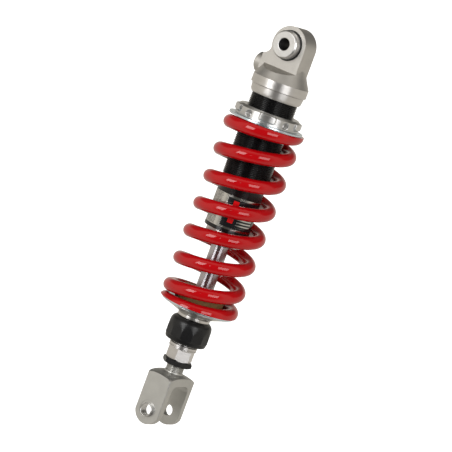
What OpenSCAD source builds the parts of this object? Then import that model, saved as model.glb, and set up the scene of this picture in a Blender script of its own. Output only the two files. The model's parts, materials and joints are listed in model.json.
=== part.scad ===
// Rear shock absorber with a threaded preload collar and a rebound adjuster.
// The origin is the centre of the upper eye's bore, the shock hangs down along -Z
// and both mounting bores run along Y. All lengths are in millimetres.

/* [Mounts] */
// Distance from the upper eye's centre down to the clevis bore's centre
eye_to_eye = 340; // [339:0.5:342]
// Radius of the bores for the two M10 mounting bolts
mount_bore_r = 5.1; // [5.05:0.05:5.25]
// Width over the two spacers of the upper eye
spacer_span = 34; // [32:1:36]
// Width over the two ears of the clevis
clevis_span = 38; // [36:1:40]
// Gap between the ears of the clevis
clevis_gap = 25.2; // [23:0.2:26]

/* [Upper eye] */
// Outer radius of the upper eye
eye_r = 17; // [16.8:0.1:17.4]
// Thickness of the slab that carries the upper eye
eye_thickness = 18.4; // [18:0.2:19]
// Radius of the bore that holds the bearing
eye_bore_r = 13.5; // [13.4:0.1:13.6]
// Outer radius of the spacers
spacer_r = 12.3; // [12:0.1:12.6]
// Radius of the bearing ball
ball_r = 11.5; // [11.3:0.1:11.6]

/* [Top cap] */
// Depth below the origin at which the slab's flat faces end
shoulder_drop = 21.4; // [21:0.2:22]
// Radius of the cap's turned band
cap_r = 25.1; // [24.5:0.1:25.2]
// Depth of the turned band's top edge
cap_band_drop = 31.7; // [31.5:0.1:32]
// Depth of the turned band's lower edge
cap_drop = 39.5; // [39.3:0.1:39.6]
// Radius of the gas valve's boss
valve_boss_r = 9; // [8.4:0.1:9]
// How far the gas valve's boss reaches from the shock's axis
valve_boss_reach = 29; // [28:0.5:29]
// Depth of the gas valve's axis
valve_drop = 23; // [22.8:0.1:23.2]

/* [Damper body] */
// Outer radius of the threaded part of the body
thread_r = 21; // [20.8:0.1:21]
// Outer radius of the plain lower part of the body
body_r = 20; // [19.8:0.1:20.1]
// Radius of the bore that the piston runs in
bore_r = 18; // [17.95:0.05:18.05]
// Depth of the thread's lower end
thread_drop = 122; // [118:1:126]
// Depth of the body's lower end
body_drop = 166.2; // [165.8:0.2:166.6]
// Depth of the seal head's lower face
seal_head_drop = 182; // [181.5:0.5:182]
// Radius of the piston rod
rod_r = 8; // [7.95:0.05:8]

/* [Spring] */
// Radius of the spring's wire
wire_r = 6; // [5.7:0.1:6]
// Radius of the spring's coil, at the wire's centre
coil_r = 29.75; // [29.6:0.05:29.8]
// Depth of the spring's top face
spring_top_drop = 71.2; // [71.2:0.1:71.3]
// Depth of the spring's bottom face
spring_bottom_drop = 240.7; // [240.6:0.1:240.7]
// Number of turns, with one closed turn at each end
spring_turns = 8; // [8:1:8]
// Direction of both wire tips, in degrees from +X
tip_angle = 212; // [0:1:359]

/* [Preload collar] */
// Radius over the collar's lugs
lug_r = 30.3; // [29.9:0.1:30.5]
// Width of a lug
lug_w = 15.6; // [15:0.2:16]
// Depth of the collar's top face
collar_top_drop = 59.4; // [59:0.2:60]
// Depth of the collar's bottom face
collar_bottom_drop = 69.1; // [69:0.1:69.1]

/* [Lower seat and adjuster] */
// Radius of the lower spring seat
seat_r = 33; // [32.5:0.5:33.5]
// Radius of the bump stop
bump_r = 20.8; // [20:0.2:21]
// Depth of the bump stop's top face
bump_drop = 226.4; // [226:0.2:227]
// Largest radius of the adjuster knob
knob_r = 19.8; // [19:0.2:19.8]
// Depth of the adjuster knob's top face
knob_top_drop = 253.4; // [253.4:0.1:253.6]
// Depth of the adjuster knob's bottom face
knob_bottom_drop = 275.2; // [275:0.1:275.3]
// Width across flats of the rod end's hex
rod_end_hex = 21.2; // [21:0.1:22]
// Width across flats of the locknut
locknut_hex = 24; // [24:0.1:24.5]
// Radius of the clevis stud
stud_r = 8; // [7.95:0.05:8]

/* [Hidden] */
$fn = 96;

view_angle = 32;        // azimuth that one lug and the clevis hex flats are set from
running = 0.06;         // radial clearance of a running fit
cap_colour = "#b5b1ac";
black_colour = "#2a2a2c";
steel_colour = "#b9bcc0";
zinc_colour = "#c8d2da";
rubber_colour = "#202020";

lock_ring_top = -cap_drop - 0.2;
lock_ring_bottom = -47.3;
lock_ring_r = 23.7;
body_top = -29.8;
cap_cavity_top = -28;
collar_r = 28.6;
collar_hole_z = -65.6;
piston_top = -130;
piston_bottom = -144;
free_piston_top = -62;
free_piston_bottom = -76;
head_top = -152;
seat_top = -spring_bottom_drop;
seat_bottom = seat_top - 2;
seat_cone_bottom = -250;
support_bottom = -253.2;
rod_bottom = -254;
rod_end_top = -243.4;
stud_bore_top = -264;
stud_top = -271;
flange_top = -277.2;
flange_bottom = -281.4;
hex_bottom = -291.7;
locknut_bottom = -296.6;
clevis_neck = -eye_to_eye + 36;
clevis_shoulder = -eye_to_eye + 32.8;
clevis_step = -eye_to_eye + 25.1;
slot_top = -eye_to_eye + 27.2;
clevis_w = 26.2;
clevis_corner = 1.6;
bush_r = 6.1;
bush_reach = 22;
closed_pitch = 2 * wire_r + 0.15;
first_turn_z = -spring_bottom_drop + 9.2;
last_turn_z = -spring_top_drop - 7.5;
active_pitch = (last_turn_z - first_turn_z) / (spring_turns - 2);
section_points = 7;
full_arc = 90 - 90 / section_points;
adjuster_z = -259;
shaft_r = 10.5;
groove_r = 12.4;

// A ring round the Z axis, from z0 up to z1
module ring(z0, z1, outer, inner) {
    translate([0, 0, z0])
        difference() {
            cylinder(h = z1 - z0, r = outer);
            translate([0, 0, -1])
                cylinder(h = z1 - z0 + 2, r = inner);
        }
}

// A solid round the Z axis, from an outline of [radius, z] points
module turned(outline) {
    rotate_extrude()
        polygon(outline);
}

// A cylinder along Y, centred on the plane y = 0
module across(r, length) {
    rotate([90, 0, 0])
        cylinder(h = length, r = r, center = true);
}

// A ring of round section, round the Z axis
module o_ring(z, major, minor) {
    translate([0, 0, z])
        rotate_extrude()
            translate([major, 0])
                circle(r = minor, $fn = 24);
}

// ---- upper eye ----

module eye_bearing_ball() {
    half = 7.5;
    bore = 7;
    color(steel_colour)
        rotate([90, 0, 0])
            rotate_extrude()
                intersection() {
                    circle(r = ball_r);
                    translate([bore, -half])
                        square([ball_r, 2 * half]);
                }
}

module eye_spacers() {
    half = spacer_span / 2;
    color(steel_colour)
        for (side = [0, 180])
            rotate([0, 0, side])
                rotate([90, 0, 0])
                    turned([
                        [mount_bore_r, 0.2], [6.95, 0.2], [6.95, 9.4], [spacer_r - 0.4, 9.4],
                        [spacer_r, 9.8], [spacer_r, half - 1.2], [spacer_r - 1.2, half],
                        [mount_bore_r + 0.6, half], [mount_bore_r, half - 0.6]
                    ]);
}

module eye_bearing_race() {
    half = 5.5;
    inner = 9;
    color(steel_colour)
        rotate([90, 0, 0])
            rotate_extrude()
                difference() {
                    translate([inner, -half])
                        square([eye_bore_r - 0.02 - inner, 2 * half]);
                    circle(r = ball_r + running);
                }
}

// A spring ring with a gap, which lies in a groove of the eye's bore
module eye_circlips() {
    color(black_colour)
        for (side = [-1, 1])
            difference() {
                translate([0, side * 6.1, 0])
                    across(eye_bore_r + 0.7, 1);
                across(eye_bore_r - 1.2, 40);
                translate([-2.5, -20, -20])
                    cube([5, 40, 20]);
            }
}

module eye_dust_seals() {
    color(rubber_colour)
        for (side = [-1, 1])
            difference() {
                translate([0, side * 8.4, 0])
                    across(eye_bore_r - 0.05, 1.4);
                across(7.4, 40);
            }
}

// ---- top cap ----

// The slab's outline seen along Y: the eye, its right side and the lobe on the left
module slab_outline() {
    lobe_left = -22;
    lobe_inner = 3;
    lobe_top = -valve_drop + valve_boss_r;
    fillet = 9;
    circle(r = eye_r);
    translate([0, -shoulder_drop - 6])
        square([eye_r, shoulder_drop + 6]);
    translate([-eye_r + 1, -shoulder_drop - 6])
        square([eye_r, shoulder_drop + 6 - 4]);
    difference() {
        translate([lobe_left, -shoulder_drop - 6])
            square([lobe_inner - lobe_left, lobe_top + fillet + shoulder_drop + 6 - 2]);
        translate([-eye_r - fillet + 1.5, lobe_top + fillet])
            circle(r = fillet);
        translate([lobe_left - 5, lobe_top])
            square([-lobe_left + 5 - eye_r - fillet + 1.5, 20]);
    }
}

// What is cut off the round shoulder in front of each flat face, down to a slope
module shoulder_cut() {
    slope = 17.6;
    face = eye_thickness / 2;
    reach = 50;
    for (side = [0, 180])
        rotate([0, 0, side])
            rotate([90, 0, 90])
                linear_extrude(80, center = true)
                    polygon([
                        [face, -shoulder_drop], [face, 20], [face + reach, 20],
                        [face + reach, -shoulder_drop - reach * tan(slope)]
                    ]);
}

module top_cap() {
    color(cap_colour)
        difference() {
            union() {
                rotate([90, 0, 0])
                    linear_extrude(eye_thickness, center = true)
                        slab_outline();
                difference() {
                    turned([
                        [0, -15], [16.6, -15], [18.7, -20], [20.4, -23.6],
                        [cap_r - 0.5, -cap_band_drop + 0.6],
                        [cap_r, -cap_band_drop], [cap_r, -cap_drop + 0.4], [cap_r - 0.4, -cap_drop],
                        [0, -cap_drop]
                    ]);
                    shoulder_cut();
                }
                translate([0, 0, -valve_drop])
                    rotate([0, -90, 0])
                        turned([
                            [0, 0], [valve_boss_r, 0], [valve_boss_r, valve_boss_reach - 1.5],
                            [valve_boss_r - 1.5, valve_boss_reach], [0, valve_boss_reach]
                        ]);
            }
            across(eye_bore_r, 60);
            for (side = [-1, 1])
                translate([0, side * 6.1, 0])
                    across(eye_bore_r + 0.8, 1.2);
            translate([0, 0, -60])
                cylinder(h = 60 + cap_cavity_top, r = thread_r + 0.02);
            translate([0, 0, -valve_drop])
                rotate([0, -90, 0]) {
                    translate([0, 0, 12])
                        cylinder(h = 30, r = 3.6);
                    translate([0, 0, 21])
                        cylinder(h = 30, r = 6.2);
                }
            translate([-13.5, 0, -30])
                cylinder(h = 7, r = 1.2, $fn = 24);
        }
}

module gas_valve() {
    color("#c9a95c")
        translate([0, 0, -valve_drop])
            rotate([0, -90, 0])
                turned([
                    [1.1, 15.2], [3.58, 15.2], [3.58, 21.1], [5, 21.1], [5, 22.4],
                    [2.6, 22.4], [2.6, 26], [1.1, 26]
                ]);
}

module gas_valve_cap() {
    color(black_colour)
        translate([0, 0, -valve_drop])
            rotate([0, -90, 0])
                turned([
                    [0, 26.6], [2.7, 26.6], [2.7, 22.5], [4.6, 22.5], [4.6, 27.2], [4, 27.9], [0, 27.9]
                ]);
}

module cap_o_ring() {
    color(rubber_colour)
        o_ring(-28.9, 19.3, 0.85);
}

module body_lock_ring() {
    color(cap_colour)
        turned([
            [thread_r + 0.02, lock_ring_top], [lock_ring_r, lock_ring_top],
            [lock_ring_r - 0.7, lock_ring_bottom + 2], [lock_ring_r - 1.9, lock_ring_bottom],
            [thread_r + 0.02, lock_ring_bottom]
        ]);
}

// ---- damper body and seal head ----

module damper_body() {
    color(black_colour)
        difference() {
            turned([
                [bore_r, body_top], [thread_r - 0.6, body_top], [thread_r, body_top - 0.6],
                [thread_r, -thread_drop], [body_r, -thread_drop - 2], [body_r, -body_drop],
                [bore_r, -body_drop]
            ]);
            ring(-165.1, -163.5, bore_r + 0.75, 10);
        }
}

module body_band() {
    color("#d7dadd")
        ring(-body_drop, -137, body_r + 0.2, body_r);
}

module body_end_ring() {
    color(black_colour)
        ring(-169.5, -body_drop, body_r + 0.4, 17.42);
}

module seal_head() {
    color(steel_colour)
        difference() {
            turned([
                [8.4, head_top], [bore_r - 0.05, head_top], [bore_r - 0.05, -163.4], [17.4, -163.4],
                [17.4, -seal_head_drop + 0.8], [16.6, -seal_head_drop], [8.4, -seal_head_drop]
            ]);
            ring(-164, -154, 9.32, 1);
            ring(-172.1, -166, 12.02, 1);
            ring(-190, -178.4, 11.02, 1);
            ring(-159, -157, bore_r + 1, bore_r - 1.85);
        }
}

module head_circlip() {
    color(steel_colour)
        difference() {
            ring(-165, -163.6, bore_r + 0.7, 17.45);
            translate([0, -2, -170])
                cube([30, 4, 10]);
        }
}

module seal_head_o_ring() {
    color(rubber_colour)
        o_ring(-158, bore_r - 0.95, 0.88);
}

module rod_bush() {
    color("#8f7a4a")
        ring(-164, -154, 9.3, rod_r + running);
}

module rod_seal() {
    color(rubber_colour)
        turned([
            [rod_r + 0.03, -166], [12, -166], [12, -172], [9.4, -172], [rod_r + 0.03, -168.6]
        ]);
}

module rod_wiper() {
    color(rubber_colour)
        turned([
            [rod_r + 0.9, -178.6], [11, -178.6], [11, -182.2], [9.6, -183.4],
            [rod_r + 0.03, -183.6], [rod_r + 0.03, -182.4]
        ]);
}

module floating_piston() {
    color("#9aa0a6")
        difference() {
            turned([
                [0, free_piston_bottom + 4], [10, free_piston_bottom + 4], [12, free_piston_bottom],
                [bore_r - running, free_piston_bottom], [bore_r - running, free_piston_top],
                [14, free_piston_top], [12, free_piston_top - 4], [0, free_piston_top - 4]
            ]);
            ring(-70, -68, bore_r + 1, bore_r - 1.9);
        }
}

module floating_piston_seal() {
    color(rubber_colour)
        o_ring(-69, bore_r - 0.98, 0.9);
}

// ---- spring and its upper seat ----

module upper_spring_washer() {
    color(zinc_colour)
        ring(-spring_top_drop + 0.05, -collar_bottom_drop - 0.05, 33.5, thread_r + 0.5);
}

// A lug's outline seen from outside, with round lower corners
module lug_outline() {
    corner = 2.5;
    bottom = -collar_bottom_drop + 2;
    top = -collar_top_drop - 0.4;
    translate([-lug_w / 2, bottom + corner])
        square([lug_w, top - bottom - corner]);
    translate([-lug_w / 2 + corner, bottom])
        square([lug_w - 2 * corner, corner + 1]);
    for (side = [-1, 1])
        translate([side * (lug_w / 2 - corner), bottom + corner])
            circle(r = corner, $fn = 48);
}

module lug(inner) {
    intersection() {
        ring(-collar_bottom_drop, -collar_top_drop, lug_r, inner);
        rotate([90, 0, 0])
            linear_extrude(lug_r + 1)
                lug_outline();
    }
}

module preload_collar() {
    bore = thread_r + running;
    color(cap_colour)
        difference() {
            union() {
                turned([
                    [bore, -collar_bottom_drop], [collar_r, -collar_bottom_drop],
                    [collar_r, -collar_top_drop - 2], [collar_r - 2, -collar_top_drop],
                    [bore + 1.4, -collar_top_drop], [bore, -collar_top_drop - 1.6]
                ]);
                for (k = [0 : 4])
                    rotate([0, 0, view_angle + 72 * k])
                        lug(bore + 1);
            }
            for (k = [0 : 4])
                rotate([0, 0, view_angle - 90 + 36 + 72 * k])
                    translate([bore + 1, 0, collar_hole_z])
                        rotate([0, 90, 0])
                            cylinder(h = 20, r = 2.8, $fn = 48);
        }
}

// Height of the wire's centre after a number of turns from the bottom tip
function wire_z(t) =
    t < 1 ? first_turn_z - closed_pitch * (1 - t)
    : t > spring_turns - 1 ? last_turn_z + closed_pitch * (t - spring_turns + 1)
    : first_turn_z + active_pitch * (t - 1);

// Angle on the wire's section at which a ground end's flat face starts
function cut_angle(height) = min(full_arc, asin(max(-1, min(1, height / wire_r))));

// One section of the wire: an arc on the outside, then one on the inside
function wire_section(t) =
    let (
        turn = tip_angle + 360 * t,
        z = wire_z(t),
        low = cut_angle(z - seat_top),
        high = cut_angle(-spring_top_drop - z),
        step = (low + high) / (section_points - 1),
        outer = [for (i = [0 : section_points - 1]) -low + i * step],
        inner = [for (i = [0 : section_points - 1]) 180 - high + i * step]
    )
    [for (a = concat(outer, inner))
        let (r = coil_r + wire_r * cos(a))
        [r * cos(turn), r * sin(turn), z + wire_r * sin(a)]];

module spring() {
    steps = spring_turns * 24;
    n = 2 * section_points;
    points = [for (i = [0 : steps]) each wire_section(i / 24)];
    sides = [for (i = [0 : steps - 1]) for (j = [0 : n - 1])
        let (k = (j + 1) % n)
        [i * n + j, i * n + k, (i + 1) * n + k, (i + 1) * n + j]];
    start_face = [for (j = [n - 1 : -1 : 0]) j];
    end_face = [for (j = [0 : n - 1]) steps * n + j];
    color("#b00010")
        polyhedron(points, concat([start_face], sides, [end_face]), convexity = 10);
}

// ---- rod and piston ----

module piston_rod() {
    color("#d5d8dc")
        difference() {
            turned([
                [2.2, rod_bottom], [rod_r - 0.5, rod_bottom], [rod_r, rod_bottom + 0.5],
                [rod_r, -146.8], [5, -146.8], [5, -118.6], [4.4, -118], [1.2, -118],
                [1.2, -131], [2.2, -132]
            ]);
            translate([0, 0, -128.5])
                rotate([90, 0, 0])
                    cylinder(h = 20, r = 0.8, center = true, $fn = 24);
        }
}

module piston() {
    color(steel_colour)
        difference() {
            ring(piston_bottom, piston_top, 17.6, 5.02);
            ring(-141.05, -132.95, 20, 16.75);
            for (k = [0 : 5])
                rotate([0, 0, 60 * k])
                    translate([11.5, 0, piston_bottom - 1])
                        cylinder(h = 20, r = 2.2, $fn = 32);
        }
}

module piston_band() {
    color("#5d4a36")
        difference() {
            ring(-141, -133, bore_r - running, 16.8);
            translate([10, -0.4, -150])
                cube([20, 0.8, 30]);
        }
}

module shim_stack(z, radii) {
    thickness = 0.5;
    gap = 0.02;
    for (i = [0 : len(radii) - 1])
        ring(z + i * (thickness + gap), z + i * (thickness + gap) + thickness, radii[i], 5.02);
}

module compression_shims() {
    color("#8c8f94")
        shim_stack(-146.66, [9, 10.5, 12, 13.5, 15]);
}

module rebound_shims() {
    color("#8c8f94")
        shim_stack(piston_top + 0.04, [15, 13.5, 12, 10.5, 9]);
}

module piston_nut() {
    color(steel_colour)
        difference() {
            translate([0, 0, -127.3])
                cylinder(h = 7, d = 17 / cos(30), $fn = 6);
            translate([0, 0, -130])
                cylinder(h = 12, r = 5.02);
        }
}

module top_out_bumper() {
    color(rubber_colour)
        turned([
            [rod_r + 0.02, -151.6], [12, -151.6], [13, -150.6], [13, -148], [12, -147],
            [rod_r + 0.02, -147]
        ]);
}

module bump_stop() {
    color("#8a6a40")
        turned([
            [rod_r + 0.02, seat_top + 0.05], [bump_r, seat_top + 0.05], [bump_r, -bump_drop - 1.2],
            [bump_r - 1.2, -bump_drop], [rod_r + 1.2, -bump_drop], [rod_r + 0.02, -bump_drop - 1.2]
        ]);
}

// ---- lower seat, adjuster and rod end ----

module lower_spring_seat() {
    color(zinc_colour)
        turned([
            [14, seat_bottom], [seat_r - 0.3, seat_bottom], [seat_r, seat_bottom + 0.3],
            [seat_r, seat_top - 0.3], [seat_r - 0.3, seat_top], [23.4, seat_top], [23.2, seat_top + 2.6],
            [22.8, seat_top + 3], [21.6, seat_top + 3], [21.2, seat_top + 2.6], [21.2, seat_top],
            [14, seat_top]
        ]);
}

module lower_seat_collar() {
    color(steel_colour)
        difference() {
            turned([
                [12.04, seat_bottom - 0.04], [31, seat_bottom - 0.04], [31, seat_bottom - 0.8],
                [25.3, -245.5], [15.6, seat_cone_bottom + 0.6], [15, seat_cone_bottom],
                [12.04, seat_cone_bottom]
            ]);
            // the opening that lets the collar slip round the rod
            rotate([0, 0, view_angle - 90 + 38])
                translate([0, -6, seat_cone_bottom - 1])
                    cube([40, 12, 3.4]);
            for (k = [1 : 3])
                rotate([0, 0, view_angle - 52 + 90 * k])
                    translate([22, -3, seat_cone_bottom - 1])
                        cube([20, 6, 5.5]);
        }
}

module seat_support_ring() {
    color(steel_colour)
        turned([
            [shaft_r + 0.02, support_bottom], [14.2, support_bottom], [14.7, support_bottom + 0.5],
            [14.7, seat_cone_bottom - 0.5], [14.2, seat_cone_bottom - 0.04], [12, seat_cone_bottom - 0.04],
            [12, rod_end_top], [shaft_r + 0.02, rod_end_top]
        ]);
}

module rod_end() {
    color(steel_colour)
        difference() {
            union() {
                translate([0, 0, hex_bottom])
                    cylinder(h = rod_end_top - hex_bottom, r = shaft_r);
                turned([
                    [0, flange_bottom], [12.1, flange_bottom], [12.6, flange_bottom + 0.5],
                    [12.6, -280.2], [12.2, -279.9], [12.2, -279.5], [12.6, -279.2],
                    [12.6, flange_top - 0.5], [12.1, flange_top], [0, flange_top]
                ]);
                intersection() {
                    translate([0, 0, hex_bottom])
                        rotate([0, 0, view_angle - 44])
                            cylinder(h = flange_bottom - hex_bottom, d = rod_end_hex / cos(30), $fn = 6);
                    turned([
                        [0, hex_bottom], [10.6, hex_bottom], [12.4, hex_bottom + 1], [12.4, flange_bottom],
                        [0, flange_bottom]
                    ]);
                }
            }
            translate([0, 0, rod_bottom])
                cylinder(h = 20, r = rod_r + 0.01);
            translate([0, 0, -270])
                cylinder(h = 20, r = 2.2);
            translate([0, 0, -310])
                cylinder(h = 310 + stud_bore_top, r = stud_r + running);
            translate([-20, -1.65, adjuster_z - 1.7])
                cube([40, 3.3, 5]);
            translate([0, -4.4, adjuster_z])
                rotate([90, 0, 0])
                    cylinder(h = 20, r = 1.6, $fn = 32);
            ring(-276.55, -275.45, 20, 9.95);
        }
}

module metering_rod() {
    color(steel_colour)
        turned([
            [0, adjuster_z + 1.52], [2.1, adjuster_z + 1.52], [2.1, -137], [0.9, -134],
            [0.5, -132.6], [0, -132.6]
        ]);
}

module adjuster_cross_pin() {
    color(steel_colour)
        translate([0, 0, adjuster_z])
            rotate([0, 90, 0])
                cylinder(h = 23.6, r = 1.5, center = true, $fn = 32);
}

module detent_ball() {
    color(steel_colour)
        translate([0, -10.7, adjuster_z])
            sphere(r = 1.5, $fn = 32);
}

module detent_spring() {
    coils = 6;
    pitch = 0.72;
    color(steel_colour)
        for (k = [0 : coils - 1])
            translate([0, -4.9 - k * pitch, adjuster_z])
                rotate([90, 0, 0])
                    rotate_extrude($fn = 32)
                        translate([1.05, 0])
                            circle(r = 0.3, $fn = 16);
}

module knob_retaining_ring() {
    color(black_colour)
        difference() {
            ring(-276.5, -275.5, 12.2, 10);
            translate([0, -1.5, -280])
                cube([20, 3, 10]);
        }
}

module adjuster_knob() {
    color(black_colour)
        difference() {
            union() {
                intersection() {
                    turned([
                        [0, -269.6], [knob_r + 0.4, -269.6], [19, -262], [18.7, -257.4], [17.9, -255.4],
                        [16.4, -254], [14.9, -knob_top_drop], [0, -knob_top_drop]
                    ]);
                    translate([0, 0, -300])
                        rotate([0, 0, view_angle])
                            cylinder(h = 100, r = knob_r, $fn = 12);
                }
                turned([
                    [0, -knob_bottom_drop], [17.4, -knob_bottom_drop], [18, -knob_bottom_drop + 0.6],
                    [18.9, -270.6], [18.9, -269.4], [0, -269.4]
                ]);
            }
            translate([0, 0, -300])
                cylinder(h = 60, r = shaft_r + running);
            translate([0, 0, adjuster_z - 2.2])
                cylinder(h = 6, r = groove_r);
        }
}

module locknut() {
    color(black_colour)
        difference() {
            intersection() {
                translate([0, 0, locknut_bottom])
                    rotate([0, 0, view_angle - 16])
                        cylinder(h = hex_bottom - locknut_bottom - 0.04, d = locknut_hex / cos(30), $fn = 6);
                turned([
                    [0, locknut_bottom], [11.8, locknut_bottom], [13.8, locknut_bottom + 1.1],
                    [13.8, hex_bottom - 1.1], [11.8, hex_bottom], [0, hex_bottom]
                ]);
            }
            translate([0, 0, -310])
                cylinder(h = 40, r = stud_r + running);
        }
}

// ---- clevis ----

// A square with round corners, centred on the origin
module rounded_rect(w, d, r) {
    square([w - 2 * r, d], center = true);
    square([w, d - 2 * r], center = true);
    for (x = [-1, 1], y = [-1, 1])
        translate([x * (w / 2 - r), y * (d / 2 - r)])
            circle(r = r, $fn = 48);
}

// The slot between the ears, seen along X, with round inner corners
module clevis_slot() {
    corner = 6.5;
    half = clevis_gap / 2;
    translate([-half, -400])
        square([clevis_gap, 400 + slot_top - corner]);
    translate([-half + corner, -400])
        square([clevis_gap - 2 * corner, 400 + slot_top]);
    for (side = [-1, 1])
        translate([side * (half - corner), slot_top - corner])
            circle(r = corner, $fn = 64);
}

// The two ears and the bridge over the slot, before the slot is cut
module clevis_block() {
    ear_r = clevis_w / 2;
    intersection() {
        translate([0, 0, -eye_to_eye - 30])
            linear_extrude(30 + eye_to_eye + clevis_step)
                rounded_rect(clevis_w, clevis_span, clevis_corner);
        rotate([90, 0, 0])
            linear_extrude(clevis_span + 2, center = true) {
                translate([0, -eye_to_eye])
                    circle(r = ear_r);
                translate([-ear_r, -eye_to_eye])
                    square([2 * ear_r, 60]);
            }
    }
    intersection() {
        translate([0, 0, clevis_step - 0.1])
            linear_extrude(clevis_neck - clevis_step + 0.1)
                rounded_rect(clevis_w, clevis_span, clevis_corner);
        turned([
            [0, clevis_step - 0.1], [23.2, clevis_step - 0.1], [23.2, clevis_shoulder - 4.4],
            [22.9, clevis_shoulder - 2.8], [22, clevis_shoulder - 1.2], [20.6, clevis_shoulder],
            [17, clevis_neck - 2], [12, clevis_neck - 1.2], [9, clevis_neck], [0, clevis_neck]
        ]);
    }
}

module clevis() {
    recess = 0.3;
    arc = 100;
    color(cap_colour)
        difference() {
            union() {
                clevis_block();
                turned([
                    [0, clevis_neck - 1], [9, clevis_neck - 1], [8.4, clevis_neck + 0.6],
                    [stud_r, clevis_neck + 1.6],
                    [stud_r, stud_top - 1], [stud_r - 1, stud_top], [0, stud_top]
                ]);
            }
            rotate([90, 0, 90])
                linear_extrude(60, center = true)
                    clevis_slot();
            translate([0, 0, -eye_to_eye])
                across(mount_bore_r, 80);
            // the near ear's bore takes the bush
            translate([0, -30, -eye_to_eye])
                across(bush_r + 0.02, 50);
            translate([0, -clevis_span / 2 + recess - 5, clevis_step - arc])
                across(arc, 10);
            for (side = [-1, 1])
                translate([0, side * (clevis_span / 2 - 2 * recess + 5), -eye_to_eye])
                    across(8.4, 10);
        }
}

module clevis_bush() {
    inner = clevis_gap / 2 + 0.1;
    color(steel_colour)
        translate([0, 0, -eye_to_eye])
            rotate([90, 0, 0])
                turned([
                    [mount_bore_r, inner], [bush_r, inner], [bush_r, bush_reach - 0.5],
                    [bush_r - 0.5, bush_reach], [mount_bore_r + 0.5, bush_reach],
                    [mount_bore_r, bush_reach - 0.5]
                ]);
}

eye_bearing_ball();
eye_spacers();
top_cap();
eye_bearing_race();
eye_circlips();
eye_dust_seals();
gas_valve();
gas_valve_cap();
cap_o_ring();
body_lock_ring();
damper_body();
body_band();
body_end_ring();
seal_head();
head_circlip();
seal_head_o_ring();
rod_bush();
rod_seal();
rod_wiper();
floating_piston();
floating_piston_seal();
upper_spring_washer();
preload_collar();
spring();
piston_rod();
bump_stop();
lower_spring_seat();
lower_seat_collar();
seat_support_ring();
rod_end();
locknut();
piston();
piston_band();
compression_shims();
rebound_shims();
piston_nut();
top_out_bumper();
detent_ball();
detent_spring();
knob_retaining_ring();
metering_rod();
adjuster_cross_pin();
adjuster_knob();
clevis();
clevis_bush();
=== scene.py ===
"""A motorcycle's rear shock absorber, hanging by its upper eye over a plain pale floor.

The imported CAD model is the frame. Its threads, spring, knob and machined edges are made here in
finer detail, and every piece gets a procedural material. All lengths are in metres.
"""

import json
import math

import bmesh
import bpy
import numpy as np
from mathutils import Matrix, Vector


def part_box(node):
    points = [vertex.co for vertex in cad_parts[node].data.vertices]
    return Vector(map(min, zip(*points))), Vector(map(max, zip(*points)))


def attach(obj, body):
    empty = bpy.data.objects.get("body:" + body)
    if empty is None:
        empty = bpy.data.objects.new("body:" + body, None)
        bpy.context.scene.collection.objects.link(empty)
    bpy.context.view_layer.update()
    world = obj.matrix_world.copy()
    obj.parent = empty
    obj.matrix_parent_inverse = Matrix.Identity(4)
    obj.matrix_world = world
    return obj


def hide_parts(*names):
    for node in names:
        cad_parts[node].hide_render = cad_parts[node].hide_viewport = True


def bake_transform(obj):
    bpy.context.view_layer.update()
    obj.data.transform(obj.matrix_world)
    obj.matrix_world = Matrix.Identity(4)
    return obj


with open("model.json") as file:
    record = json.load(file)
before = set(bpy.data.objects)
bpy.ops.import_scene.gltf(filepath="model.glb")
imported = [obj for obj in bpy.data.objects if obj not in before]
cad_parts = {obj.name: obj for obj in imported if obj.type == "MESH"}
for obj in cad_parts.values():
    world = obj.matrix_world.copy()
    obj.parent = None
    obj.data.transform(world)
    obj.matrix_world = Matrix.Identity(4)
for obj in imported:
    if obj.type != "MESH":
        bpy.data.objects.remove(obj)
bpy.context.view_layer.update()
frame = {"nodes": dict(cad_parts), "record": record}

MM = 0.001
NODES = frame["nodes"]
BODY_OF = {n: b for b, ns in frame["record"]["behaviour"]["bodies"].items() for n in ns}
SLOT_OF = {s["node"]: s["material_slot"] for s in frame["record"]["subparts"]}

# ---- camera ----

VIEW_AZIMUTH = math.radians(32.0)
CAMERA_DISTANCE = 2.118       # level distance from the shock's axis
CAMERA_HEIGHT = 0.130         # above the upper eye's centre
CAMERA_DOWN = math.radians(7.97)
CAMERA_ROLL = math.radians(20.36)
CAMERA_LENS = 195.8
CAMERA_LEFT = 0.0014          # level step to the left

to_camera = Vector((math.sin(VIEW_AZIMUTH), -math.cos(VIEW_AZIMUTH), 0))
to_right = Vector((math.cos(VIEW_AZIMUTH), math.sin(VIEW_AZIMUTH), 0))


def make_camera():
    cam = bpy.data.objects.new("camera", bpy.data.cameras.new("camera"))
    bpy.context.scene.collection.objects.link(cam)
    bpy.context.scene.camera = cam
    cam.data.lens = CAMERA_LENS
    cam.data.sensor_width = 36
    cam.data.clip_start = 0.1
    cam.data.clip_end = 200
    forward = -to_camera * math.cos(CAMERA_DOWN) - Vector((0, 0, math.sin(CAMERA_DOWN)))
    level_up = to_right.cross(forward)
    up = math.cos(CAMERA_ROLL) * level_up - math.sin(CAMERA_ROLL) * to_right
    right = math.cos(CAMERA_ROLL) * to_right + math.sin(CAMERA_ROLL) * level_up
    turn = Matrix((right, up, -forward)).transposed()
    place = to_camera * CAMERA_DISTANCE - to_right * CAMERA_LEFT + Vector((0, 0, CAMERA_HEIGHT))
    cam.matrix_world = Matrix.Translation(place) @ turn.to_4x4()


# ---- floor and lights ----

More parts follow.
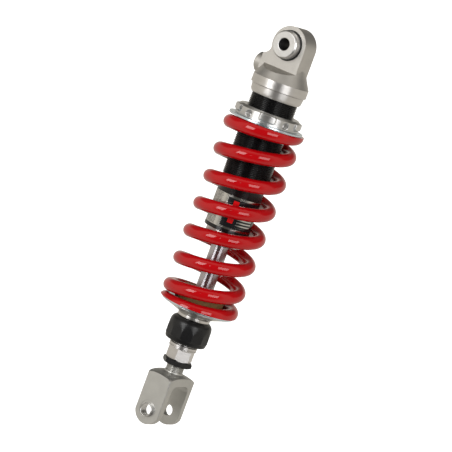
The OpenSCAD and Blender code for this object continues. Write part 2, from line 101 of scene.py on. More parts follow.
SCENE_CENTRE = Vector((0, 0, -0.16))
FLOOR_DROP = 0.75             # floor's depth below the upper eye's centre
FLOOR_RADIUS = 90
LIGHT_DISTANCE = 2.3          # of each lamp from the scene's centre
ROOM_LIGHT = 0.62             # radiance of the room on matt surfaces
ROOM_COLOUR = (0.60, 0.57, 0.51)  # of the room in reflections
LEFT_WALL = 1.15              # its brightness at the left, as a share of that colour
LEFT_TURN = math.radians(60)  # where the left is, from the camera's side
DARK_SIDE = 0.12              # its brightness on the camera's side, likewise
DARK_CEILING = 0.15           # high up behind the object
FLOOR_GLOW = 0.85             # straight below


def make_floor():
    bm = bmesh.new()
    bmesh.ops.create_circle(bm, cap_ends=True, segments=128, radius=FLOOR_RADIUS)
    mesh = bpy.data.meshes.new("floor")
    bm.to_mesh(mesh)
    bm.free()
    floor = bpy.data.objects.new("floor", mesh)
    floor.location = (0, 0, -FLOOR_DROP)
    bpy.context.scene.collection.objects.link(floor)
    material = bpy.data.materials.new("floor_white")
    material.use_nodes = True
    shader = material.node_tree.nodes["Principled BSDF"]
    shader.inputs["Base Color"].default_value = (0.9, 0.9, 0.9, 1)
    shader.inputs["Roughness"].default_value = 0.9
    shader.inputs["Emission Color"].default_value = (1, 1, 1, 1)
    shader.inputs["Emission Strength"].default_value = 0.85
    mesh.materials.append(material)
    floor.visible_glossy = False
    floor.visible_diffuse = False


def make_softbox(name, azimuth, elevation, width, height, radiance):
    """A soft light. Its azimuth is counted from the camera's side, to the right. Angles are in degrees."""
    a = VIEW_AZIMUTH + math.radians(azimuth)
    e = math.radians(elevation)
    out = Vector((math.sin(a) * math.cos(e), -math.cos(a) * math.cos(e), math.sin(e)))
    data = bpy.data.lights.new(name, "AREA")
    data.shape = "RECTANGLE"
    data.size = width
    data.size_y = height
    data.energy = radiance * math.pi * width * height
    light = bpy.data.objects.new(name, data)
    light.location = SCENE_CENTRE + out * LIGHT_DISTANCE
    light.rotation_mode = "QUATERNION"
    light.rotation_quaternion = (-out).to_track_quat("-Z", "Y")
    bpy.context.scene.collection.objects.link(light)


def make_world():
    """Warm grey all round, and white where the camera sees it past the floor.

    Reflections see it darker on the camera's side, and high up behind the object.
    """
    world = bpy.data.worlds.new("studio")
    bpy.context.scene.world = world
    world.use_nodes = True
    world.cycles.sampling_method = "NONE"
    tree = world.node_tree
    tree.nodes.clear()

    def node(kind, **values):
        made = tree.nodes.new(kind)
        for key, value in values.items():
            if hasattr(made, key):
                setattr(made, key, value)
            else:
                made.inputs[key].default_value = value
        return made

    def ramp(source, start, end, low, high):
        """Low up to the source's start, high from its end on, and a smooth step between."""
        made = node("ShaderNodeMapRange", interpolation_type="SMOOTHSTEP")
        for socket, value in (("From Min", start), ("From Max", end), ("To Min", low), ("To Max", high)):
            made.inputs[socket].default_value = value
        tree.links.new(source, made.inputs["Value"])
        return made.outputs["Result"]

    coords = node("ShaderNodeTexCoord")
    front = node("ShaderNodeVectorMath", operation="DOT_PRODUCT")
    tree.links.new(coords.outputs["Generated"], front.inputs[0])
    front.inputs[1].default_value = to_camera
    split = node("ShaderNodeSeparateXYZ")
    tree.links.new(coords.outputs["Generated"], split.inputs[0])

    def times(a, b):
        made = node("ShaderNodeMath", operation="MULTIPLY")
        tree.links.new(a, made.inputs[0])
        tree.links.new(b, made.inputs[1])
        return made.outputs[0]

    ahead, height = front.outputs["Value"], split.outputs["Z"]
    behind = ramp(ahead, -0.2, 0.2, 1.0, 0.0)
    high_up = ramp(height, 0.15, 0.5, 0.0, 1.0)
    ceiling = ramp(times(behind, high_up), 0.0, 1.0, 1.0, DARK_CEILING)
    camera_side = ramp(ahead, 0.35, 0.85, 1.0, DARK_SIDE)
    below = ramp(height, -0.9, -0.35, FLOOR_GLOW, 1.0)
    left = node("ShaderNodeVectorMath", operation="DOT_PRODUCT")
    tree.links.new(coords.outputs["Generated"], left.inputs[0])
    left.inputs[1].default_value = to_camera * math.cos(LEFT_TURN) - to_right * math.sin(LEFT_TURN)
    left_wall = ramp(left.outputs["Value"], 0.75, 0.97, 1.0, LEFT_WALL)
    level = times(times(times(camera_side, ceiling), below), left_wall)
    reflected = node("ShaderNodeBackground")
    reflected.inputs["Color"].default_value = (*ROOM_COLOUR, 1)
    tree.links.new(level, reflected.inputs["Strength"])
    lit = node("ShaderNodeBackground")
    lit.inputs["Color"].default_value = (1.0, 0.99, 0.97, 1)
    lit.inputs["Strength"].default_value = ROOM_LIGHT
    ray = node("ShaderNodeLightPath")
    mixed = node("ShaderNodeMixShader")
    tree.links.new(ray.outputs["Is Diffuse Ray"], mixed.inputs[0])
    tree.links.new(reflected.outputs[0], mixed.inputs[1])
    tree.links.new(lit.outputs[0], mixed.inputs[2])
    seen = node("ShaderNodeBackground")
    seen.inputs["Color"].default_value = (1, 1, 1, 1)
    shown = node("ShaderNodeMixShader")
    tree.links.new(ray.outputs["Is Camera Ray"], shown.inputs[0])
    tree.links.new(mixed.outputs[0], shown.inputs[1])
    tree.links.new(seen.outputs[0], shown.inputs[2])
    out = node("ShaderNodeOutputWorld")
    tree.links.new(shown.outputs[0], out.inputs["Surface"])


def make_studio():
    """The floor, the world round it, two softboxes in front of the object and a small lamp between them."""
    make_floor()
    make_world()
    make_softbox("softbox_left", azimuth=-39, elevation=15, width=0.98, height=1.5, radiance=5.2)
    make_softbox("softbox_right", azimuth=28.5, elevation=15, width=1.2, height=1.4, radiance=3.6)
    make_softbox("lamp_small", azimuth=-11, elevation=18, width=0.1, height=0.13, radiance=9.0)
    bpy.context.scene.view_settings.view_transform = "Standard"


# ---- materials ----


class Shade:
    """A procedural material. Its patterns lie in the row frame, because every mesh's origin is there."""

    def __init__(self, name, colour, roughness, metallic=1.0, **sockets):
        self.material = bpy.data.materials.new(name)
        self.material.use_nodes = True
        self.tree = self.material.node_tree
        self.shader = self.tree.nodes["Principled BSDF"]
        self.shader.inputs["Metallic"].default_value = metallic
        self.shader.inputs["Roughness"].default_value = roughness
        self.shader.inputs["Base Color"].default_value = (*colour, 1)
        for socket, value in sockets.items():
            self.shader.inputs[socket.replace("_", " ")].default_value = value
        self.colour = colour
        self.roughness = roughness
        self.coords = self.tree.nodes.new("ShaderNodeTexCoord").outputs["Object"]
        self.height = None

    def noise(self, size, detail=2.0, stretch=(1, 1, 1)):
        """Noise whose grains measure about size metres."""
        place = self.tree.nodes.new("ShaderNodeMapping")
        place.inputs["Scale"].default_value = stretch
        self.tree.links.new(self.coords, place.inputs["Vector"])
        node = self.tree.nodes.new("ShaderNodeTexNoise")
        node.inputs["Scale"].default_value = 1 / size
        node.inputs["Detail"].default_value = detail
        self.tree.links.new(place.outputs[0], node.inputs["Vector"])
        return node.outputs["Fac"]

    def rings(self, pitch, axis="Z"):
        """Fine tool marks across an axis, pitch metres apart."""
        split = self.tree.nodes.new("ShaderNodeSeparateXYZ")
        self.tree.links.new(self.coords, split.inputs[0])
        wobble = self.noise(0.004, 1.0)
        scaled = self.math("MULTIPLY", split.outputs[axis], 2 * math.pi / pitch)
        moved = self.math("ADD", scaled, self.math("MULTIPLY", wobble, 9.0))
        return self.math("SINE", moved)

    def math(self, operation, a, b=None):
        node = self.tree.nodes.new("ShaderNodeMath")
        node.operation = operation
        for socket, value in zip(node.inputs, (a, b)):
            if value is None:
                continue
            if isinstance(value, (int, float)):
                socket.default_value = value
            else:
                self.tree.links.new(value, socket)
        return node.outputs[0]

    def mix(self, factor, a, b):
        """Colour a, or b where the factor is 1. Each is a colour or a socket."""
        node = self.tree.nodes.new("ShaderNodeMix")
        node.data_type = "RGBA"
        self.tree.links.new(factor, node.inputs["Factor"])
        for socket, value in (("A", a), ("B", b)):
            if isinstance(value, tuple):
                node.inputs[socket].default_value = value
            else:
                self.tree.links.new(value, node.inputs[socket])
        return node.outputs["Result"]

    def turn(self, split, ahead, right):
        """The angle round the Z axis from one direction towards another, in radians."""
        def along(direction):
            x = self.math("MULTIPLY", split.outputs["X"], direction.x)
            y = self.math("MULTIPLY", split.outputs["Y"], direction.y)
            return self.math("ADD", x, y)

        return self.math("ARCTAN2", along(right), along(ahead))

    def between(self, source, low, high):
        """1 where the source lies between two values."""
        above = self.math("GREATER_THAN", source, low)
        return self.math("MULTIPLY", above, self.math("LESS_THAN", source, high))

    def spread(self, source, low, high, start=0.3, end=0.7):
        """Values from low to high as the source goes from start to end."""
        node = self.tree.nodes.new("ShaderNodeMapRange")
        node.inputs["From Min"].default_value = start
        node.inputs["From Max"].default_value = end
        node.inputs["To Min"].default_value = low
        node.inputs["To Max"].default_value = high
        self.tree.links.new(source, node.inputs["Value"])
        return node.outputs["Result"]

    def tint(self, source, other, start=0.35, end=0.65):
        """The colour goes over to another one where the pattern is high."""
        node = self.tree.nodes.new("ShaderNodeMix")
        node.data_type = "RGBA"
        node.inputs["A"].default_value = (*self.colour, 1)
        node.inputs["B"].default_value = (*other, 1)
        self.tree.links.new(self.spread(source, 0.0, 1.0, start, end), node.inputs["Factor"])
        self.tree.links.new(node.outputs["Result"], self.shader.inputs["Base Color"])
        return self

    def vary_roughness(self, source, amount):
        low, high = self.roughness - amount, self.roughness + amount
        self.tree.links.new(self.spread(source, low, high), self.shader.inputs["Roughness"])
        return self

    def bump(self, source, depth, strength=1.0):
        """Relief of the given depth in metres, added over any earlier one."""
        node = self.tree.nodes.new("ShaderNodeBump")
        node.inputs["Distance"].default_value = depth
        node.inputs["Strength"].default_value = strength
        self.tree.links.new(source, node.inputs["Height"])
        if self.height is not None:
            self.tree.links.new(self.height, node.inputs["Normal"])
        self.height = node.outputs[0]
        self.tree.links.new(self.height, self.shader.inputs["Normal"])
        return self


def scaled(colour, k):
    return tuple(c * k for c in colour)


def blasted(name, colour, roughness, metallic=0.9, grain=0.00001):
    """Bead-blasted or cast alloy: an even, fine grain."""
    s = Shade(name, colour, roughness, metallic)
    s.tint(s.noise(0.009, 3), scaled(colour, 0.93))
    s.vary_roughness(s.noise(0.0012), 0.05)
    return s.bump(s.noise(0.00035, 1), grain, 0.6).material


def turned(name, colour, roughness, pitch=0.00022, depth=0.0000012, axis="Z", spread=0.75):
    """Lathe-turned metal: tool marks round its axis, which spread its reflections along the axis."""
    s = Shade(name, colour, roughness, Anisotropic=spread, Anisotropic_Rotation=0.25)
    s.tint(s.noise(0.006, 2, (0.3, 0.3, 4)), scaled(colour, 0.95))
    s.vary_roughness(s.noise(0.002, 2), 0.03)
    return s.bump(s.rings(pitch, axis), depth).material


def anodised(name, colour, roughness, ior=1.55, spread=0.0):
    """Black anodised alloy: a dark base under a thin hard layer. Spread is that of turned metal."""
    s = Shade(name, colour, roughness, 0.0, IOR=ior, Anisotropic=spread, Anisotropic_Rotation=0.25)
    s.tint(s.noise(0.01, 3), scaled(colour, 1.5))
    s.vary_roughness(s.noise(0.0015, 2), 0.03)
    return s.bump(s.noise(0.0003, 1), 0.000004, 0.5).material


def rubber(name, colour, roughness=0.6):
    s = Shade(name, colour, roughness, metallic=0.0)
    s.tint(s.noise(0.004, 3), scaled(colour, 1.4))
    return s.bump(s.noise(0.0004, 2), 0.00002, 0.6).material


def gloss_paint(name, colour):
    """Thick gloss powder coat with a slight orange peel."""
    s = Shade(name, colour, 0.5, metallic=0.0, Specular_IOR_Level=0.0, Coat_Weight=1.0,
              Coat_Roughness=0.05, Coat_IOR=1.5)
    s.tint(s.noise(0.02, 2), scaled(colour, 0.9))
    s.bump(s.noise(0.0022, 1), 0.000012, 0.5)
    s.tree.links.new(s.height, s.shader.inputs["Coat Normal"])
    return s.material


def chrome(name, colour, roughness):
    """Hard chrome, ground round its axis."""
    s = Shade(name, colour, roughness, Anisotropic=0.9, Anisotropic_Rotation=0.25)
    s.tint(s.noise(0.015, 2), scaled(colour, 0.96))
    s.vary_roughness(s.noise(0.003, 2, (1, 1, 0.1)), 0.015)
    return s.bump(s.noise(0.0006, 1, (1, 1, 0.05)), 0.0000002, 0.4).material


def zinc(name, colour, roughness):
    """Blue-passivated zinc plate, faintly clouded."""
    s = Shade(name, colour, roughness)
    s.tint(s.noise(0.006, 4), (colour[0] * 0.9, colour[1] * 0.96, colour[2] * 1.02))
    s.vary_roughness(s.noise(0.002, 3), 0.05)
    return s.bump(s.noise(0.0005, 2), 0.000006, 0.5).material


def foam(name, colour):
    """Skinned urethane foam of a bump stop."""
    s = Shade(name, colour, 0.7, metallic=0.0, Subsurface_Weight=0.05)
    s.tint(s.noise(0.003, 5), scaled(colour, 0.75))
    return s.bump(s.noise(0.0007, 4), 0.00006, 0.7).material


# What lies where round the foil band: angles in radians from the camera's side, to the right
FOIL_FIELD = (-0.38, 1.9)
FOIL_PANEL = (0.3, 1.1)
FOIL_BAR = (-0.11, 0.14)
FOIL_MOTTLE = (-3.2, -0.66)
FOIL_LINE_PITCH = 2.6 * MM


def foil(name, colour, roughness):
    """Foil with a mottled end, and a dark field with silver borders, a panel of lines and one red bar."""
    s = Shade(name, colour, roughness)
    split = s.tree.nodes.new("ShaderNodeSeparateXYZ")
    s.tree.links.new(s.coords, split.inputs[0])
    side = s.turn(split, to_camera, to_right)
    z = split.outputs["Z"]
    low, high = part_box("body_band")
    low_border = s.between(z, low.z - 1 * MM, low.z + 1.8 * MM)
    high_border = s.between(z, high.z - 2 * MM, high.z + 1 * MM)
    wave = s.math("SINE", s.math("MULTIPLY", z, 2 * math.pi / FOIL_LINE_PITCH))
    lines = s.between(wave, 0.35, 1.1)
    panel_height = s.between(z, low.z + 3.5 * MM, low.z + 11.5 * MM)
    panel = s.math("MULTIPLY", s.between(side, *FOIL_PANEL), panel_height)
    borders = s.math("MAXIMUM", low_border, high_border)
    silver = s.math("MAXIMUM", borders, s.math("MULTIPLY", lines, panel))
    dark = s.math("MULTIPLY", s.between(side, *FOIL_FIELD), s.math("SUBTRACT", 1.0, silver))
    bar = s.math("MULTIPLY", s.between(side, *FOIL_BAR), s.between(z, low.z + 6 * MM, high.z - 3.5 * MM))
    rough = s.between(side, *FOIL_MOTTLE)
    mottle = s.math("MULTIPLY", rough, s.spread(s.noise(0.0009, 2), 0.0, 1.0, 0.42, 0.58))
    base = s.mix(mottle, (*colour, 1), (*scaled(colour, 0.42), 1))
    base = s.mix(dark, base, (0.008, 0.008, 0.009, 1))
    base = s.mix(bar, base, (0.6, 0.004, 0.006, 1))
    s.tree.links.new(base, s.shader.inputs["Base Color"])
    printed = s.math("MAXIMUM", dark, bar)
    s.tree.links.new(s.spread(printed, 1.0, 0.0, 0.0, 1.0), s.shader.inputs["Metallic"])
    s.tree.links.new(s.spread(rough, roughness, roughness + 0.2, 0.0, 1.0), s.shader.inputs["Roughness"])
    return s.bump(s.math("MULTIPLY", rough, s.noise(0.0011, 2)), 0.00004, 0.5).material


MATERIALS = {
    "bearing_steel": turned("bearing_steel", (0.05, 0.05, 0.052), 0.2, axis="Y"),
    "spacer_steel": turned("spacer_steel", (0.76, 0.755, 0.75), 0.32, axis="Y", spread=0.0),
    "cap_alloy": blasted("cap_alloy", (0.575, 0.555, 0.525), 0.42),
    # painted shade: a darker, rougher copy of the cap alloy for the shaded pocket under each flat face
    "cap_pocket_painted_shade": blasted("cap_pocket_painted_shade", (0.40, 0.38, 0.345), 0.5),
    "cap_turned": turned("cap_turned", (0.74, 0.72, 0.70), 0.42),
    "black_steel": blasted("black_steel", (0.02, 0.02, 0.021), 0.4, 0.0),
    "seal_rubber": rubber("seal_rubber", (0.014, 0.014, 0.014)),
    "valve_brass": turned("valve_brass", (0.75, 0.58, 0.3), 0.22, axis="X"),
    "black_plastic": rubber("black_plastic", (0.02, 0.02, 0.02), 0.4),
    "body_anodised": anodised("body_anodised", (0.003, 0.003, 0.0035), 0.28, 1.55, 0.95),
    "band_foil": foil("band_foil", (0.66, 0.64, 0.61), 0.14),
    "seal_head_alloy": turned("seal_head_alloy", (0.74, 0.73, 0.72), 0.3),
    "bush_bronze": turned("bush_bronze", (0.5, 0.4, 0.25), 0.3),
    "inner_alloy": turned("inner_alloy", (0.7, 0.7, 0.72), 0.25),
    "zinc_plate": zinc("zinc_plate", (0.74, 0.81, 0.85), 0.24),
    "collar_alloy": turned("collar_alloy", (0.72, 0.71, 0.70), 0.36),
    "spring_paint": gloss_paint("spring_paint", (0.42, 0.0012, 0.0035)),
    "rod_chrome": chrome("rod_chrome", (0.61, 0.59, 0.62), 0.25),
    "bump_foam": foam("bump_foam", (0.27, 0.145, 0.045)),
    "seat_alloy": turned("seat_alloy", (0.74, 0.72, 0.7), 0.3),
    "rod_end_steel": turned("rod_end_steel", (0.74, 0.72, 0.71), 0.36),
    "locknut_black": anodised("locknut_black", (0.006, 0.006, 0.0065), 0.32, 1.42),
    "band_ptfe": rubber("band_ptfe", (0.14, 0.09, 0.05), 0.5),
    "shim_steel": turned("shim_steel", (0.5, 0.5, 0.52), 0.2),
    "knob_black": anodised("knob_black", (0.005, 0.005, 0.0055), 0.3, 1.42),
    "clevis_alloy": blasted("clevis_alloy", (0.555, 0.55, 0.525), 0.4),
}

# ---- making meshes ----


def smooth_mesh(mesh, crease_degrees=35):
    mesh.polygons.foreach_set("use_smooth", np.ones(len(mesh.polygons), bool))
    mesh.set_sharp_from_angle(angle=math.radians(crease_degrees))
    mesh.update()


def grid_piece(name, points, wrap_rows=True, wrap_columns=True, caps=False, crease_degrees=35):
    """A mesh over a grid of points (rows, columns, 3). Rows and columns join up where they wrap."""
    rows, columns = points.shape[:2]
    i = np.arange(rows if wrap_rows else rows - 1)
    j = np.arange(columns if wrap_columns else columns - 1)
    i, j = np.meshgrid(i, j, indexing="ij")
    ni, nj = (i + 1) % rows, (j + 1) % columns
    quads = np.stack([i * columns + j, i * columns + nj, ni * columns + nj, ni * columns + j], -1)
    faces = quads.reshape(-1, 4).tolist()
    if caps:
        faces.append(list(range(columns))[::-1])
        faces.append([(rows - 1) * columns + k for k in range(columns)])
    mesh = bpy.data.meshes.new(name)
    mesh.from_pydata(points.reshape(-1, 3).tolist(), [], faces)
    bm = bmesh.new()
    bm.from_mesh(mesh)
    bmesh.ops.recalc_face_normals(bm, faces=bm.faces)
    bm.to_mesh(mesh)
    bm.free()
    smooth_mesh(mesh, crease_degrees)
    piece = bpy.data.objects.new(name, mesh)
    bpy.context.scene.collection.objects.link(piece)
    return piece


def lathe_piece(name, outline, radius, columns, crease_degrees):
    """A closed outline of (radius, z) turned round the Z axis. radius(r, z, angle) shapes it further."""
    outline = np.array(outline, float)
    angle = np.linspace(0, 2 * math.pi, columns, endpoint=False)
    r, a = np.meshgrid(outline[:, 0], angle, indexing="ij")
    z = np.broadcast_to(outline[:, 1:], r.shape)
    r = radius(r, z, a)
    points = np.stack([r * np.cos(a), r * np.sin(a), z], -1)
    return grid_piece(name, points, crease_degrees=crease_degrees)


def stands_for(piece, node, materials=None):
    """Puts a made piece in its CAD node's place: its body, its slot, its material."""
    for slot in materials or [SLOT_OF[node]]:
        piece.data.materials.append(MATERIALS[slot])
    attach(piece, BODY_OF[node])
    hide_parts(node)
    return piece


def softened(node, width, segments=2, angle_degrees=32, top=None):
    """The CAD node's own shape with its edges rounded by width, and cut off at the level top."""
    bm = bmesh.new()
    bm.from_mesh(NODES[node].data)
    bmesh.ops.remove_doubles(bm, verts=bm.verts, dist=1e-6)
    bmesh.ops.dissolve_limit(
        bm, angle_limit=math.radians(0.4), verts=bm.verts, edges=bm.edges, delimit={"NORMAL"}
    )
    if top is not None:
        geometry = [*bm.verts, *bm.edges, *bm.faces]
        plane = {"plane_co": (0, 0, top), "plane_no": (0, 0, 1)}
        cut = bmesh.ops.bisect_plane(bm, geom=geometry, clear_outer=True, **plane)
        rim = [e for e in cut["geom_cut"] if isinstance(e, bmesh.types.BMEdge)]
        bmesh.ops.contextual_create(bm, geom=rim)
    mesh = bpy.data.meshes.new(node + "_soft")
    bm.to_mesh(mesh)
    bm.free()
    smooth_mesh(mesh, 180)
    piece = bpy.data.objects.new(node + "_soft", mesh)
    bpy.context.scene.collection.objects.link(piece)
    bevel = piece.modifiers.new("round", "BEVEL")
    bevel.width = width
    bevel.segments = segments
    bevel.limit_method = "ANGLE"
    bevel.angle_limit = math.radians(angle_degrees)
    bevel.use_clamp_overlap = True
    bevel.miter_outer = "MITER_ARC"
    flat = piece.modifiers.new("flat_faces", "WEIGHTED_NORMAL")
    flat.weight = 90
    flat.keep_sharp = True
    evaluated = piece.evaluated_get(bpy.context.evaluated_depsgraph_get())
    final = bpy.data.meshes.new_from_object(evaluated)
    piece.modifiers.clear()
    piece.data = final
    final.name = node + "_soft"
    final.materials.clear()
    return piece


def thread_ridge(z, angle, pitch):
    """0 at a right-handed thread's root and 1 at its crest, with narrow flats on both."""
    phase = np.mod(z / pitch - angle / (2 * math.pi), 1.0)
    return np.clip((1 - np.abs(2 * phase - 1)) * 1.35 - 0.175, 0, 1)


# ---- spring ----

WIRE_R = 5.96 * MM
COIL_R = 29.72 * MM
SPRING_TURNS = 8
CLOSED_PITCH = 12.13 * MM     # of the closed turn at each end
FIRST_TURN = 9.2 * MM         # height of the lower closed turn's end over the spring's bottom
LAST_TURN = 7.5 * MM          # depth of the upper closed turn's start under its top
TIP_ANGLE = VIEW_AZIMUTH + math.pi


def make_spring():
    """The coil, its ends closed and ground flat.
    """
    low_box, high_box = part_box("spring")
    bottom, top = low_box.z, high_box.z
    first, last = bottom + FIRST_TURN, top - LAST_TURN
    pitch = (last - first) / (SPRING_TURNS - 2)
    per_turn, around = 72, 28
    t = np.linspace(0, SPRING_TURNS, SPRING_TURNS * per_turn + 1)
    z = first + pitch * (t - 1)
    z = np.where(t < 1, first - CLOSED_PITCH * (1 - t), z)
    z = np.where(t > SPRING_TURNS - 1, last + CLOSED_PITCH * (t - SPRING_TURNS + 1), z)
    soft = np.ones(per_turn // 6) / (per_turn // 6)
    spare = 40
    step = CLOSED_PITCH / per_turn
    before = z[0] - step * np.arange(spare, 0, -1)
    after = z[-1] + step * np.arange(1, spare + 1)
    z = np.convolve(np.concatenate([before, z, after]), soft, "same")[spare:-spare]
    half = around // 2
    limit = math.pi / 2 - math.pi / around
    low = np.minimum(limit, np.arcsin(np.clip((z - bottom) / WIRE_R, -1, 1)))
    high = np.minimum(limit, np.arcsin(np.clip((top - z) / WIRE_R, -1, 1)))
    share = np.linspace(0, 1, half)
    outer = -low[:, None] + (low + high)[:, None] * share
    inner = math.pi - high[:, None] + (low + high)[:, None] * share
    a = np.concatenate([outer, inner], 1)
    turn = TIP_ANGLE + 2 * math.pi * t[:, None]
    r = COIL_R + WIRE_R * np.cos(a)
    points = np.stack([r * np.cos(turn), r * np.sin(turn), z[:, None] + WIRE_R * np.sin(a)], -1)
    piece = grid_piece("spring_coil", points, wrap_rows=False, caps=True, crease_degrees=50)
    piece.data.materials.append(MATERIALS["spring_paint"])
    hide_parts("spring")
    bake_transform(piece)


# ---- threaded body ----

THREAD_SAMPLES = 7            # rows of points to a thread's pitch, here and on the stud
BODY_PITCH = 1.5 * MM
BODY_THREAD_DEPTH = 0.95 * MM
BODY_THREAD_BOTTOM = -122 * MM
BODY_BORE_R = 18 * MM


def make_damper_body():
    low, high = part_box("damper_body")
    major = high.x - 0.01 * MM
    plain = major - 1 * MM
    end = BODY_THREAD_BOTTOM
    count = int((high.z - end) / BODY_PITCH * THREAD_SAMPLES)
    threaded = [(major, z) for z in np.linspace(high.z - 0.6 * MM, end, count)]
    outline = [(BODY_BORE_R, high.z), (major - 0.9 * MM, high.z), *threaded]
    outline += [(plain + 0.3 * MM, end - 1.4 * MM), (plain, end - 2 * MM)]
    outline += [(plain, low.z + 0.2 * MM), (plain - 0.2 * MM, low.z), (BODY_BORE_R, low.z)]

    def cut(r, z, a):
        ridge = thread_ridge(z, a, BODY_PITCH)
        run_in = np.clip((high.z - z) / (3 * MM), 0.3, 1)
        on_thread = (r > major - 0.01 * MM) & (z >= end - 1e-6)
        return np.where(on_thread, major - BODY_THREAD_DEPTH * (1 - ridge * run_in), r)

    stands_for(lathe_piece("damper_body_threaded", outline, cut, 128, 60), "damper_body")


# ---- preload collar ----

COLLAR_R = 28.6 * MM
LUG_R = 30.25 * MM
LUG_HALF_WIDTH = 7.8 * MM
LUG_SPACING = math.radians(72)
LUG_HALF_HEIGHT = 3.75 * MM
LUG_CORNER = 2.5 * MM
LUG_SLOPE = 1.1 * MM          # width of a lug's sloping side
COLLAR_BORE_R = 21.07 * MM
COLLAR_CHAMFER = 1.8 * MM     # height of the slope round the top
COLLAR_CHAMFER_WIDTH = 2 * MM
HOLE_R = 2.6 * MM
HOLE_RIM = 3.4 * MM
HOLE_DEPTH = 3.5 * MM
RIM_DEPTH = 0.8 * MM


def make_collar():
    """The collar: five padded lugs with sloping sides, and a countersunk spanner hole between each two."""
    low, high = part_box("preload_collar")
    lug_z = (low.z + high.z) / 2 + 0.8 * MM
    hole_z = low.z + 4.0 * MM
    first_lug = VIEW_AZIMUTH - math.pi / 2
    chamfer_z = high.z - COLLAR_CHAMFER
    outside = [(COLLAR_R, z) for z in np.arange(low.z + 0.3 * MM, chamfer_z, 0.22 * MM)]
    share = np.linspace(0, 1, 9)
    chamfer = [(COLLAR_R - COLLAR_CHAMFER_WIDTH * s, chamfer_z + COLLAR_CHAMFER * s) for s in share]
    outline = [(COLLAR_BORE_R, low.z), (COLLAR_R - 0.3 * MM, low.z), *outside, *chamfer]
    outline += [(COLLAR_BORE_R + 1.4 * MM, high.z), (COLLAR_BORE_R, high.z - 1.6 * MM)]

    def shape(r, z, a):
        outer = r > COLLAR_R - 0.9 * COLLAR_CHAMFER_WIDTH
        across = (np.mod(a - first_lug + LUG_SPACING / 2, LUG_SPACING) - LUG_SPACING / 2) * COLLAR_R
        qx = np.abs(across) - LUG_HALF_WIDTH + LUG_CORNER
        qz = np.abs(z - lug_z) - LUG_HALF_HEIGHT + LUG_CORNER
        round_part = np.hypot(np.maximum(qx, 0), np.maximum(qz, 0))
        inside = LUG_CORNER - round_part - np.minimum(np.maximum(qx, qz), 0)
        pad = np.clip(inside / LUG_SLOPE, 0, 1)
        r = np.where(outer, r + pad * (LUG_R - r), r)
        between = (np.mod(a - first_lug, LUG_SPACING) - LUG_SPACING / 2) * COLLAR_R
        away = np.hypot(between, z - hole_z)
        rim = np.clip((HOLE_RIM - away) / (HOLE_RIM - HOLE_R), 0, 1) * RIM_DEPTH
        pit = np.clip((HOLE_R - away) / (0.3 * MM), 0, 1) * HOLE_DEPTH
        return np.where(outer, r - rim - pit, r)

    stands_for(lathe_piece("preload_collar_lugged", outline, shape, 840, 32), "preload_collar")


# ---- adjuster knob ----

KNOB_SIDES = 12
KNOB_FACET = 19.05 * MM       # distance of a facet from the axis
KNOB_BORE_R = 10.56 * MM
KNOB_GROOVE_R = 12.4 * MM     # the space inside for the cross pin's turn
KNOB_GROOVE_LOW = -261.2 * MM
KNOB_GROOVE_HIGH = -255.2 * MM
KNOB_EDGE = 0.12 * MM         # roundness of the edges between facets and body


def make_knob():
    """The knob: a bulged body cut by flat facets, which end in scallops on a round skirt."""
    low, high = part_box("adjuster_knob")
    skirt_top = low.z + 5.4 * MM
    profile = [
        (10.56, 0), (14.6, 0), (15.6, 0.35), (16.8, 1.2), (17.8, 2.3), (18.55, 3.9), (19.0, 6.2),
        (19.4, 9.0), (19.9, 12.0), (20.3, 14.4), (20.45, 15.8), (20.0, 16.9), (19.3, 17.6),
        (18.9, 18.3), (18.7, 19.6), (18.4, 20.8), (17.9, 21.5), (17.1, high.z / MM - low.z / MM),
    ]
    outline = [(r * MM, high.z - z * MM) for r, z in refine(profile, 4)]
    outline += [(KNOB_BORE_R, low.z), (KNOB_BORE_R, KNOB_GROOVE_LOW), (KNOB_GROOVE_R, KNOB_GROOVE_LOW)]
    outline += [(KNOB_GROOVE_R, KNOB_GROOVE_HIGH), (KNOB_BORE_R, KNOB_GROOVE_HIGH)]
    side = 2 * math.pi / KNOB_SIDES
    shift = VIEW_AZIMUTH - math.pi / 2

    def cut(r, z, a):
        local = np.mod(a - shift + side / 2, side) - side / 2
        flat = KNOB_FACET / np.cos(local)
        sharp = np.minimum(flat, r)
        rounded = -np.log(np.exp(-r / KNOB_EDGE) + np.exp(-flat / KNOB_EDGE)) * KNOB_EDGE
        faceted = np.where(np.abs(r - flat) < 1 * MM, np.minimum(rounded, r), sharp)
        return np.where((z > skirt_top - 2 * MM) & (r > 14.5 * MM), faceted, r)

    stands_for(lathe_piece("adjuster_knob_faceted", outline, cut, 360, 50), "adjuster_knob")


def refine(points, steps):
    """Points of a smooth curve through the given ones, steps to each stretch."""
    p = np.array(points, float)
    padded = np.vstack([2 * p[0] - p[1], p, 2 * p[-1] - p[-2]])
    out = []
    for k in range(1, len(padded) - 2):
        a, b, c, d = padded[k - 1 : k + 3]
        for s in np.linspace(0, 1, steps, endpoint=False):
            bend = (2 * a - 5 * b + 4 * c - d) * s**2
            twist = (3 * b - a - 3 * c + d) * s**3
            out.append(0.5 * (2 * b + (c - a) * s + bend + twist))
    out.append(p[-1])
    return [tuple(v) for v in out]


# ---- clevis, with its threaded stud ----

STUD_R = 8 * MM
STUD_PITCH = 1.25 * MM
STUD_THREAD_DEPTH = 0.5 * MM
CLEVIS_TOP = -302.8 * MM      # where the stud leaves the clevis
STUD_BOTTOM = CLEVIS_TOP - 0.8 * MM


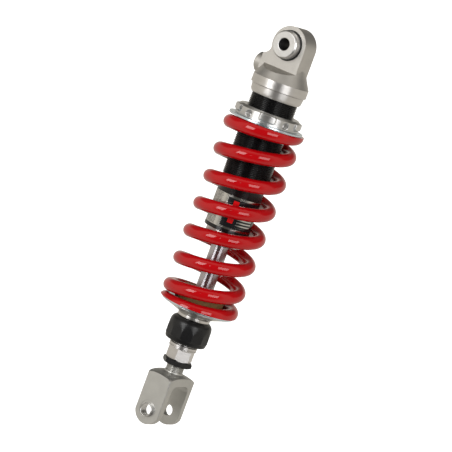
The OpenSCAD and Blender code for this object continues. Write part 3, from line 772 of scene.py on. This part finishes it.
def make_clevis():
    stands_for(softened("clevis", 0.6 * MM, 3, top=CLEVIS_TOP), "clevis")
    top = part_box("clevis")[1].z
    centre = 0.2 * MM
    count = int((top - STUD_BOTTOM) / STUD_PITCH * THREAD_SAMPLES)
    threaded = [(STUD_R, z) for z in np.linspace(STUD_BOTTOM + 0.6 * MM, top - 1.2 * MM, count)]
    outline = [(centre, STUD_BOTTOM), (STUD_R - 0.1 * MM, STUD_BOTTOM), *threaded]
    outline += [(STUD_R - 0.9 * MM, top - 0.9 * MM), (STUD_R - 1.8 * MM, top), (centre, top)]

    def cut(r, z, a):
        ridge = thread_ridge(z, a, STUD_PITCH)
        return np.where(r >= STUD_R - 1e-7, STUD_R - STUD_THREAD_DEPTH * (1 - ridge), r)

    stud = lathe_piece("clevis_stud_thread", outline, cut, 96, 60)
    stud.data.materials.append(MATERIALS["clevis_alloy"])
    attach(stud, "clevis")


# ---- top cap: blasted, with a turned band, and a rougher pocket in painted shade under each flat face ----

CAP_BAND_TOP = -31.9 * MM
CAP_BAND_INNER_R = 22 * MM    # the band's faces all lie outside this
CAP_POCKET = (-27 * MM, -21.3 * MM)  # heights between which the pockets' floors lie
CAP_FLAT_Y = 9.3 * MM         # the pockets lie past this, on both sides


def make_top_cap():
    piece = softened("top_cap", 0.8 * MM, 3)
    stands_for(piece, "top_cap", ["cap_alloy", "cap_turned", "cap_pocket_painted_shade"])
    # The band's faces get the turned alloy; the pockets' up-facing floors get the darker material as
    # painted shade.
    for face in piece.data.polygons:
        c = face.center
        in_pocket = CAP_POCKET[0] < c.z < CAP_POCKET[1] and abs(c.y) > CAP_FLAT_Y
        if c.z < CAP_BAND_TOP and math.hypot(c.x, c.y) > CAP_BAND_INNER_R:
            face.material_index = 1
        elif in_pocket and 0.9 < face.normal.z < 0.97:
            face.material_index = 2


SPACER_BORE_LIMIT = 5.6 * MM  # only the bores' faces lie wholly within this radius


def paint_bore_shade(piece):
    """The spacers' bores get the black steel material: painted shade inside the holes, dark like the
    bearing's ball.
    """
    piece.data.materials.append(MATERIALS["black_steel"])
    for face in piece.data.polygons:
        corners = [piece.data.vertices[i].co for i in face.vertices]
        if max(math.hypot(c.x, c.z) for c in corners) < SPACER_BORE_LIMIT:
            face.material_index = 1


# Nodes that keep their CAD shape but for rounded edges, and the roundings' widths in millimetres
SOFTENED = {
    "eye_spacers": 0.35,
    "body_lock_ring": 0.3,
    "body_end_ring": 0.35,
    "seal_head": 0.3,
    "upper_spring_washer": 0.35,
    "bump_stop": 1.0,
    "lower_spring_seat": 0.3,
    "lower_seat_collar": 0.35,
    "seat_support_ring": 0.25,
    "rod_end": 0.3,
    "locknut": 0.3,
    "gas_valve_cap": 0.3,
    "knob_retaining_ring": 0.15,
    "clevis_bush": 0.25,
}

make_camera()
make_studio()
make_spring()
make_damper_body()
make_collar()
make_knob()
make_clevis()
make_top_cap()
for node, width in SOFTENED.items():
    piece = stands_for(softened(node, width * MM), node)
    if node == "body_lock_ring":
        piece.data.materials[0] = MATERIALS["cap_turned"]
    if node == "eye_spacers":
        paint_bore_shade(piece)

for node, piece in NODES.items():
    piece.data.materials.clear()
    piece.data.materials.append(MATERIALS[SLOT_OF[node]])
